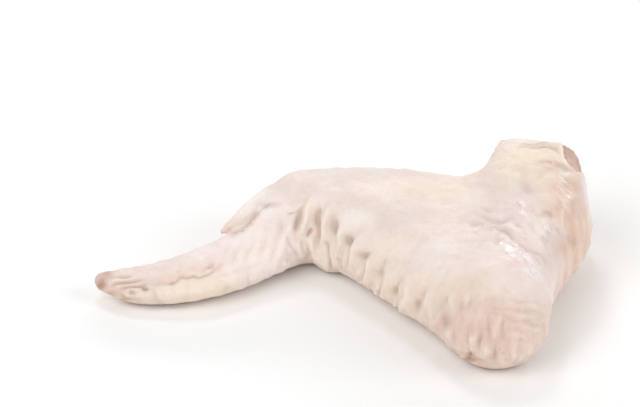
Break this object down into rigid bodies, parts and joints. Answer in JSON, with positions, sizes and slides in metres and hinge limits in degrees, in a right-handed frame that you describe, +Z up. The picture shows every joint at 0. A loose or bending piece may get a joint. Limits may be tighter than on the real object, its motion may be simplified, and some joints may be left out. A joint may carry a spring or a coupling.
{
  "type": "raw chicken wing",
  "caption": "Whole raw chicken wing with its skin on, lying folded: drumette, forearm, hand with thumb, and the skin web between them.",
  "frame": {"origin": "middle of the outline seen from above, on the surface the wing lies on", "axes": "+Z up out of the resting side; the hand's tip points to -X, the elbow to -Y, and the shoulder cut faces +Y and +X"},
  "size_m": [0.134, 0.0858, 0.0321],
  "materials": {
    "raw_skin": "pale cream pink raw skin, moist, satin with small wet glints"
  },
  "bodies": {
    "root": {"wing": "raw_skin"}
  },
  "joints": []
}
